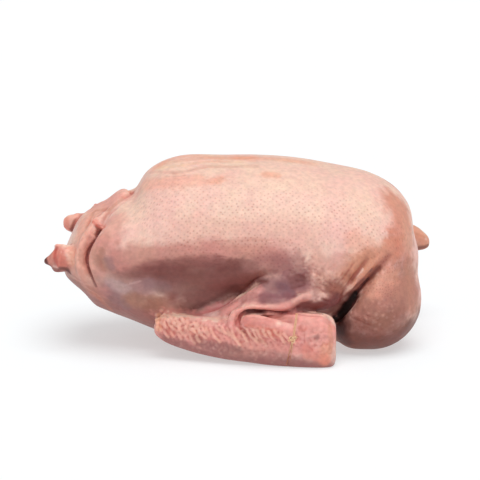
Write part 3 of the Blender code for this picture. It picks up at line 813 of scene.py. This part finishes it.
# Painted shade in hollows and a painted highlight on crests: rounds of smoothing that hollows are measured
# against, and how strongly the painted shade of each darkens the skin. Depths are in millimetres: where
# darkening starts, where it ends, and its share of red, green, blue.
PAINTED_HOLLOW_SHADE = ((3, 1.3), (16, 0.4))
HOLLOW_START = 0.02
HOLLOW_LIMIT = 0.4
HOLLOW_SHADE_TONE = (0.5, 1.2, 1.15)
PAINTED_CREST_HIGHLIGHT = 0.12
BRIGHTEST = 0.95
# How far up the skin faces where the colours of the top and the underside start, and how they fade in
TOP_STARTS = 0.35
TOP_FADES = 0.5
UNDER_STARTS = 0.05
UNDER_FADES = 0.55
# How much noise bends the edges of the colours, and the size of its waves
PAINT_WARP = 0.45
PAINT_WAVE = 9 * MM
# The middle share of a stroke that has its full strength
PAINT_SOLID = 0.33
# Where follicles show: how much, reach, and the line of pixels
FOLLICLE_AREAS = (
    (0.9, 46, ((160, 208), (220, 210), (280, 210))),
    (1.0, 40, ((300, 212), (340, 220), (370, 230))),
    (0.9, 30, ((180, 240), (240, 245), (290, 250))),
    (1.0, 40, ((366, 320), (390, 296), (404, 250))),
    (0.8, 20, ((310, 275), (335, 290))),
)
# Rows of follicles: millimetres between two, the height of the body's axis, and the half length and
# the number of steps along and round that are measured
FOLLICLE_GAP = 4.4
AXIS_HEIGHT = 95 * MM
AXIS_REACH = 190 * MM
GIRTH_STEPS = (96, 97)
# The radius taken where the axis lies outside the skin
END_RADIUS = 20 * MM


def base_colours(normals):
    """Pale on the breast, pinker down the sides and brown where the skin turns under: partly the back's own
    darker skin, partly painted shade on skin that faces down.
    """
    up = normals[:, 2]
    top = np.clip((up - TOP_STARTS) / TOP_FADES, 0, 1)[:, None]
    under = np.clip((UNDER_STARTS - up) / UNDER_FADES, 0, 1)[:, None]
    colours = linear(SIDE_SKIN) * (1 - top) + linear(TOP_SKIN) * top
    return colours * (1 - under) + linear(UNDER_SKIN_AND_SHADE) * under


def paint(skin, colours, strokes, side):
    """Lays strokes of colour on the skin, solid in their middle, with edges that noise bends."""
    tree, points, normals, bend = skin
    for colour, strength, reach, line in strokes:
        path = on_skin(tree, smooth_curve(line, max(LINE_STEP, reach / LINE_PARTS)), side)
        if len(path) == 0:
            continue
        near, gap, _ = gap_to(path, points, normals, reach * MM)
        gap = gap * bend[near]
        beyond = np.maximum(gap - reach * MM * PAINT_SOLID, 0)
        share = (strength * smooth_share(beyond, reach * MM * (1 - PAINT_SOLID)))[:, None]
        colours[near] = colours[near] * (1 - share) + linear(colour) * share


def girth_places(points, tree):
    """Millimetres along and round the body, measured on the skin, so that rows of follicles stay even.

    Rays from the body's axis give its radius at steps along and round; their running sums give lengths.
    """
    along = np.linspace(-AXIS_REACH, AXIS_REACH, GIRTH_STEPS[0])
    turns = np.linspace(-math.pi, math.pi, GIRTH_STEPS[1])
    radius = np.empty((len(along), len(turns)))
    for i, x in enumerate(along):
        for j, turn in enumerate(turns):
            ray = Vector((0, math.sin(turn), math.cos(turn)))
            hit, _, _, distance = tree.ray_cast(Vector((x, 0, AXIS_HEIGHT)), ray)
            radius[i, j] = distance if hit else END_RADIUS
    step_round = np.hypot(np.diff(radius, axis=1), radius[:, 1:] * np.diff(turns))
    rounds = np.cumsum(np.hstack([np.zeros((len(along), 1)), step_round]), axis=1)
    rounds -= rounds[:, [len(turns) // 2]]
    step_along = np.hypot(np.diff(radius, axis=0), np.diff(along)[:, None])
    lengths = np.cumsum(np.vstack([np.zeros((1, len(turns))), step_along]), axis=0)
    lengths -= lengths[[len(along) // 2]]
    row = np.clip((points[:, 0] - along[0]) / (along[1] - along[0]), 0, len(along) - 1.001)
    turn = np.arctan2(points[:, 1], points[:, 2] - AXIS_HEIGHT)
    column = np.clip((turn - turns[0]) / (turns[1] - turns[0]), 0, len(turns) - 1.001)
    i, j = row.astype(int), column.astype(int)
    s, t = row - i, column - j
    made = []
    for table in (lengths, rounds):
        low = table[i, j] * (1 - t) + table[i, j + 1] * t
        high = table[i + 1, j] * (1 - t) + table[i + 1, j + 1] * t
        made.append((low * (1 - s) + high * s) / (FOLLICLE_GAP * MM))
    return np.array(made).T


def follicle_strength(points, tree, normals):
    """Follicles show on the breast's sides, most by the shoulder, and not on the wings or the back."""
    strength = np.zeros(len(points))
    for side in (NEAR, FAR):
        for share, reach, line in FOLLICLE_AREAS:
            path = wide_path(tree, line, reach, side)
            near, gap, _ = gap_to(path, points, normals, reach * MM)
            strength[near] = np.maximum(strength[near], share * smooth_share(gap * 0.7, reach * MM))
    return strength


def make_skin():
    """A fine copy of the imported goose, its facets smoothed away, with its relief pressed in."""
    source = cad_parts["goose"]
    made = bpy.data.objects.new("goose_skin", source.data.copy())
    bpy.context.scene.collection.objects.link(made)
    made.data.materials.clear()
    weld = made.modifiers.new("weld", "WELD")
    weld.merge_threshold = WELD_GAP
    rounding = made.modifiers.new("rounding", "SUBSURF")
    rounding.levels = 1
    rounding.render_levels = 1
    fine = made.modifiers.new("fine", "REMESH")
    fine.mode = "VOXEL"
    fine.voxel_size = SKIN_VOXEL
    mesh = evaluated_mesh(made)
    made.modifiers.clear()
    made.data = mesh
    mesh.name = "goose_skin"
    relax(made, SMOOTH_FIRST)
    groups = (BELT_STROKES, NECK_STROKES, WEB_STROKES, SHOULDER_STROKES, KEEL_STROKES)
    press(made, [stroke for group in groups for stroke in group.values()], NEAR)
    press(made, BELT_STROKES.values(), FAR)
    wrinkle(made, WRINKLES, NEAR)
    wrinkle(made, FAR_WRINKLES, FAR)
    press(made, quill_strokes(NEAR_QUILLS, NEAR_QUILL_HEIGHT), NEAR)
    press(made, quill_strokes(FAR_QUILLS, FAR_QUILL_HEIGHT), FAR)
    press(made, scattered(NEAR_PIMPLES), NEAR)
    press(made, scattered(FAR_PIMPLES), FAR)
    relax(made, SMOOTH_LAST)
    made.data.calc_loop_triangles()
    thin = made.modifiers.new("thin", "DECIMATE")
    thin.ratio = min(1.0, SKIN_TRIANGLES / len(made.data.loop_triangles))
    mesh = evaluated_mesh(made)
    made.modifiers.clear()
    made.data = mesh
    put_points(mesh, np.clip(points_of(mesh), *np.array(cad_box)))
    mesh.shade_smooth()
    colour_skin(made)
    return made


def paint_hollow_shade(colours, mesh):
    """Painted shade makes hollows redder and darker than the skin round them, and a painted highlight makes
    crests a little paler.
    """
    for rounds, strength in PAINTED_HOLLOW_SHADE:
        depth = hollows(mesh, rounds) / MM
        deep = np.clip(depth - HOLLOW_START, 0, HOLLOW_LIMIT)[:, None]
        high = np.clip(-depth - HOLLOW_START, 0, HOLLOW_LIMIT)[:, None]
        colours *= np.exp(-deep * strength * np.array(HOLLOW_SHADE_TONE)) * (1 + high * PAINTED_CREST_HIGHLIGHT)


def mottle(skin, colours):
    """Uneven colour where the skin is bruised or puckered."""
    tree, points, normals, _ = skin
    amount = np.full(len(points), MOTTLE_LEAST)
    for strength, reach, line in MOTTLED:
        for side in (NEAR, FAR):
            path = wide_path(tree, line, reach, side)
            near, gap, _ = gap_to(path, points, normals, reach * MM)
            amount[near] = np.maximum(amount[near], strength * smooth_share(gap, reach * MM))
    patches = noise_at(points, MOTTLE_SIZE, 6) + 0.6 * noise_at(points, MOTTLE_SIZE / 2, 7)
    colours *= 1 + (amount * patches)[:, None] * np.array(MOTTLE_TONE)


def colour_skin(made):
    mesh = made.data
    tree = tree_of(made)
    points = points_of(mesh)
    normals = normals_of(mesh)
    colours = base_colours(normals)
    bend = 1 + PAINT_WARP * (noise_at(points, PAINT_WAVE, 3) + 0.5 * noise_at(points, PAINT_WAVE / 3, 4))
    skin = (tree, points, normals, np.maximum(bend, 0.4))
    paint(skin, colours, PAINT, NEAR)
    paint(skin, colours, FAR_PAINT, FAR)
    for rows, side in ((NEAR_QUILLS, NEAR), (FAR_QUILLS, FAR)):
        lines = quill_lines(rows)
        beside = [[(across + QUILL_PAINT_SHIFT, down, out) for across, down, out in line] for line in lines]
        paint(skin, colours, [(*QUILL_GAP_PAINT, line) for line in beside], side)
        paint(skin, colours, [(*QUILL_PAINT, line) for line in lines], side)
    for patches, side in ((NEAR_PIMPLES, NEAR), (FAR_PIMPLES, FAR)):
        # Each pimple gets a painted highlight
        dots = [(PALE, PIMPLE_HIGHLIGHT, reach, line) for reach, line in scattered(patches)]
        paint(skin, colours, dots, side)
    mottle(skin, colours)
    paint_hollow_shade(colours, mesh)
    colours = np.clip(colours, 0, BRIGHTEST)
    tint = mesh.color_attributes.new("tint", "FLOAT_COLOR", "POINT")
    tint.data.foreach_set("color", np.hstack([colours, np.ones((len(colours), 1))]).ravel())
    places = girth_places(points, tree)
    strength = follicle_strength(points, tree, normals)
    follicles = mesh.attributes.new("follicles", "FLOAT_VECTOR", "POINT")
    follicles.data.foreach_set("vector", np.hstack([places, strength[:, None]]).ravel())


class Shading:
    """Builds a material's nodes and links them in one call each."""

    def __init__(self, name):
        self.material = bpy.data.materials.new(name)
        self.material.use_nodes = True
        self.tree = self.material.node_tree
        self.shader = self.tree.nodes["Principled BSDF"]

    def add(self, kind, settings=None, **inputs):
        node = self.tree.nodes.new(kind)
        for key, value in (settings or {}).items():
            setattr(node, key, value)
        for key, value in inputs.items():
            self.put(node.inputs[key.replace("_", " ")], value)
        return node

    def put(self, socket, value):
        if isinstance(value, bpy.types.NodeSocket):
            self.tree.links.new(value, socket)
        else:
            socket.default_value = value

    def maths(self, operation, first, second=0.0):
        node = self.add("ShaderNodeMath", {"operation": operation})
        self.put(node.inputs[0], first)
        self.put(node.inputs[1], second)
        return node.outputs[0]

    def ranged(self, value, low, high, to_low, to_high):
        node = self.add("ShaderNodeMapRange", {"interpolation_type": "SMOOTHSTEP"}, Value=value)
        for key, number in (("From Min", low), ("From Max", high), ("To Min", to_low), ("To Max", to_high)):
            node.inputs[key].default_value = number
        return node.outputs["Result"]

    def mixed(self, factor, first, second, blend="MIX"):
        node = self.add("ShaderNodeMix", {"data_type": "RGBA", "blend_type": blend})
        self.put(node.inputs[0], factor)
        self.put(node.inputs[6], first)
        self.put(node.inputs[7], second)
        return node.outputs[2]

    def noise(self, place, size, detail=2.0):
        """Noise of about 0 to 1 that changes over size metres."""
        node = self.add("ShaderNodeTexNoise", Vector=place, Scale=1 / size, Detail=detail)
        return node.outputs[0]

    def bumped(self, height, distance, strength, before=None):
        node = self.add("ShaderNodeBump", Height=height, Distance=distance, Strength=strength)
        if before is not None:
            self.put(node.inputs["Normal"], before)
        return node.outputs["Normal"]


# Skin's tones that multiply its colour, the sizes of its patches and grain, and of its fine relief
ROSY_TONE = (253, 238, 240)
SALLOW_TONE = (255, 252, 246)
PORE_TONE = (200, 152, 146)
BLOTCH_SIZE = 35 * MM
GRAIN_SIZE = 5 * MM
GRAIN_TONES = (0.91, 1.05)
PORE_EDGES = (0.08, 0.30)
PORE_PATCH = 12 * MM
PORE_DEPTH = 0.5 * MM
RELIEF = ((10 * MM, 3, 1.2 * MM), (2.2 * MM, 2, 0.4 * MM))
RELIEF_STRENGTH = 0.35
SHINE_PATCH = 20 * MM
SKIN_ROUGHNESS = (0.42, 0.56)


def skin_material():
    made = Shading("goose_skin")
    place = made.add("ShaderNodeTexCoord").outputs["Object"]
    tint = made.add("ShaderNodeAttribute", {"attribute_name": "tint"}).outputs["Color"]
    pores = made.add("ShaderNodeAttribute", {"attribute_name": "follicles"}).outputs["Vector"]
    parts = made.add("ShaderNodeSeparateXYZ", Vector=pores)
    turned = made.add("ShaderNodeVectorRotate", {"rotation_type": "Z_AXIS"}, Vector=pores,
                      Angle=math.radians(45)).outputs[0]
    cells = made.add("ShaderNodeTexVoronoi", {"voronoi_dimensions": "2D"}, Vector=turned, Scale=1.0,
                     Randomness=0.45)
    dot = made.ranged(cells.outputs["Distance"], *PORE_EDGES, 1.0, 0.0)
    uneven = made.ranged(made.noise(place, PORE_PATCH), 0.35, 0.7, 0.45, 1.0)
    dot = made.maths("MULTIPLY", dot, made.maths("MULTIPLY", parts.outputs["Z"], uneven))

    blotch = made.ranged(made.noise(place, BLOTCH_SIZE, 3), 0.3, 0.7, 0.0, 1.0)
    wash = made.mixed(blotch, shader_colour(ROSY_TONE), shader_colour(SALLOW_TONE))
    colour = made.mixed(1.0, tint, wash, "MULTIPLY")
    fine = made.ranged(made.noise(place, GRAIN_SIZE, 3), 0.3, 0.7, *GRAIN_TONES)
    grain = made.add("ShaderNodeCombineColor", Red=fine, Green=fine, Blue=fine).outputs[0]
    colour = made.mixed(1.0, colour, grain, "MULTIPLY")
    pore = made.mixed(1.0, colour, shader_colour(PORE_TONE), "MULTIPLY")
    colour = made.mixed(made.maths("MULTIPLY", dot, 0.5), colour, pore)

    normal = None
    for size, detail, depth in RELIEF:
        normal = made.bumped(made.noise(place, size, detail), depth, RELIEF_STRENGTH, normal)
    normal = made.bumped(dot, PORE_DEPTH, 0.6, normal)
    shine = made.ranged(made.noise(place, SHINE_PATCH, 3), 0.3, 0.7, *SKIN_ROUGHNESS)
    shader = made.shader.inputs
    made.put(shader["Base Color"], colour)
    made.put(shader["Normal"], normal)
    made.put(shader["Roughness"], shine)
    shader["Specular IOR Level"].default_value = 0.4
    shader["Subsurface Weight"].default_value = 0.12
    shader["Subsurface Scale"].default_value = 0.004
    shader["Subsurface Radius"].default_value = (1.0, 0.35, 0.2)
    return made.material


def tie_line(tie, skin, count=48):
    """The loop of a tie drawn tight round its wing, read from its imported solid, and its knot's middle."""
    points = points_of(tie.data)
    side = math.copysign(1, points[:, 1].mean())
    outermost = (points[:, 1] * side).max()
    proud = points[:, 1] * side > outermost - KNOT_STANDS
    knot = points[proud].mean(0)
    knot[1] = side * (outermost - KNOT_DEPTH)
    around = points[~proud]
    middle = (around.min(0) + around.max(0)) / 2
    lean, start = np.polyfit(around[:, 2] - middle[2], around[:, 0] - middle[0], 1)
    middle[0] += start
    turns = np.arctan2(around[:, 2] - middle[2], around[:, 1] - middle[1])
    reach = np.hypot(around[:, 1] - middle[1], around[:, 2] - middle[2])
    steps = np.linspace(-math.pi, math.pi, count, endpoint=False)
    apart = np.abs((turns[None] - steps[:, None] + math.pi) % (2 * math.pi) - math.pi)
    near = [reach[gap < 2 * math.pi / count] for gap in apart]
    known = [(turn, np.median(here)) for turn, here in zip(steps, near) if len(here)]
    loop = []
    for turn, radius in zip(steps, np.interp(steps, *zip(*known), period=2 * math.pi)):
        outward = Vector((lean * math.sin(turn), math.cos(turn), math.sin(turn)))
        hit = skin.ray_cast(Vector(middle), outward)[0]
        if hit and abs(math.hypot(hit.y - middle[1], hit.z - middle[2]) - radius) < TWINE_SLACK:
            radius = math.hypot(hit.y - middle[1], hit.z - middle[2]) + TWINE_RISE
        loop.append(Vector(middle) + outward * radius)
    loop = np.array(loop)
    loop = (np.roll(loop, 1, 0) + 2 * loop + np.roll(loop, -1, 0)) / 4
    loop[:, 2] = np.clip(loop[:, 2], 2 * PLY_RADIUS, loop[:, 2].max() - TWINE_SINKS)
    return loop, knot


def evenly(points, spacing):
    """The closed line through points, with points about spacing apart."""
    closed = np.vstack([points, points[:1]])
    along = np.concatenate([[0], np.cumsum(np.linalg.norm(np.diff(closed, axis=0), axis=1))])
    places = np.linspace(0, along[-1], round(along[-1] / spacing), endpoint=False)
    return np.stack([np.interp(places, along, closed[:, i]) for i in range(3)], 1), along[-1]


def strand_plies(loop, side):
    """The two plies of a strand that runs beside a loop, wound round each other."""
    line, length = evenly(loop, TWINE_STEP)
    middle = line.mean(0)
    low = np.clip((middle[2] - line[:, 2]) / STRANDS_PART, 0, 1)
    line[:, 0] += side * (STRAND_APART[0] * (1 - low) + STRAND_APART[1] * low)
    outward = line - middle
    outward[:, 0] = 0
    outward /= np.linalg.norm(outward, axis=1)[:, None]
    sideways = np.array([[1.0, 0.0, 0.0]])
    twist = np.linspace(0, 2 * math.pi * round(length / TWIST_LENGTH), len(line), endpoint=False)
    plies = []
    for start in (0, math.pi):
        round_it = np.cos(twist + start)[:, None] * outward + np.sin(twist + start)[:, None] * sideways
        plies.append((line + round_it * PLY_RADIUS * 0.9, PLY_RADIUS, True))
    return plies


def knot_lines(heart, outward, draw):
    """An overhand knot, and two cut ends that fray into fibres."""
    side = Vector((1, 0, 0))
    up = outward.cross(side).normalized()
    side = up.cross(outward)
    lines = []
    knot = []
    for t in np.linspace(0, 2 * math.pi, KNOT_STEPS, endpoint=False):
        across = math.sin(t) + 2 * math.sin(2 * t)
        rise = math.cos(t) - 2 * math.cos(2 * t)
        out = -math.sin(3 * t)
        knot.append(heart + (side * across + up * rise) * KNOT_SIZE + outward * out * PLY_RADIUS * 1.6)
    lines.append((knot, PLY_RADIUS * 2.2, True))
    for towards in KNOT_ENDS:
        direction = (side * towards[0] + outward * towards[1] + up * towards[2]).normalized()
        start = heart + direction * KNOT_SIZE * 2
        lines.append(([heart, start, start + direction * END_LENGTH], PLY_RADIUS * 1.4, False))
        for _ in range(FIBRES):
            spread = Vector([draw.gauss(0, FIBRE_SPREAD) for _ in range(3)])
            bend = Vector([draw.gauss(0, FIBRE_BEND) for _ in range(3)])
            length = draw.uniform(*FIBRE_LENGTHS)
            heading = (direction + spread).normalized()
            root = start + direction * 0.5 * MM
            fibre = [root + (heading + bend * t) * length * t for t in (0, 0.3, 0.6, 1)]
            lines.append((fibre, FIBRE_RADIUS, False))
    return lines


def tubes(name, lines):
    """One mesh of round tubes along lines, each with its radius and whether it closes."""
    made = bpy.data.objects.new(name, bpy.data.meshes.new(name))
    bpy.context.scene.collection.objects.link(made)
    data = bpy.data.curves.new(name + "_lines", "CURVE")
    data.dimensions = "3D"
    data.bevel_depth = 1.0
    data.bevel_resolution = 1
    data.use_fill_caps = True
    for line, radius, closed in lines:
        spline = data.splines.new("POLY")
        spline.points.add(len(line) - 1)
        for point, place in zip(spline.points, line):
            point.co = (*place, 1.0)
            point.radius = radius
        spline.use_cyclic_u = closed
    curve = bpy.data.objects.new(name + "_lines", data)
    bpy.context.scene.collection.objects.link(curve)
    made.data = evaluated_mesh(curve)
    bpy.data.objects.remove(curve)
    made.data.shade_smooth()
    return made


def make_tie(name, node, skin_tree):
    """Twisted twine in two strands round a folded wing, knotted on the outside."""
    loop, heart = tie_line(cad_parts[node], skin_tree)
    outward = Vector(heart) - Vector(loop.mean(0))
    outward.x = 0
    outward.normalize()
    draw = random.Random(node)
    lines = strand_plies(loop, -1) + strand_plies(loop, 1) + knot_lines(Vector(heart), outward, draw)
    made = tubes(name, lines)
    made.data.materials.clear()
    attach(made, "root")
    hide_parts(node)
    return made


TWINE_DARK = (226, 176, 138)
TWINE_PALE = (248, 212, 172)
TWINE_PATCH = 2.5 * MM
FIBRE_GRAIN = 0.3 * MM
# The twine is darker low down, and keeps its plain colour above the second height
LOW_TWINE_TONE = (200, 160, 150)
LOW_TWINE_HEIGHTS = (10 * MM, 26 * MM)


def twine_material():
    made = Shading("butcher_twine")
    place = made.add("ShaderNodeTexCoord").outputs["Object"]
    height = made.add("ShaderNodeSeparateXYZ", Vector=place).outputs["Z"]
    patches = made.noise(place, TWINE_PATCH, 3)
    shades = made.mixed(patches, shader_colour(TWINE_DARK), shader_colour(TWINE_PALE))
    darkened = made.mixed(1.0, shades, shader_colour(LOW_TWINE_TONE), "MULTIPLY")
    upper_share = made.ranged(height, *LOW_TWINE_HEIGHTS, 0.0, 1.0)
    made.put(made.shader.inputs["Base Color"], made.mixed(upper_share, darkened, shades))
    made.put(made.shader.inputs["Normal"], made.bumped(made.noise(place, FIBRE_GRAIN, 2), 0.1 * MM, 0.5))
    made.shader.inputs["Roughness"].default_value = 0.85
    return made.material


make_camera()
make_studio()
skin = make_skin()
skin.data.materials.append(skin_material())
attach(skin, "root")
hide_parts("goose")
twine = twine_material()
for side in ("near", "far"):
    made = make_tie(side + "_wing_twine", side + "_wing_tie", tree_of(skin))
    made.data.materials.append(twine)
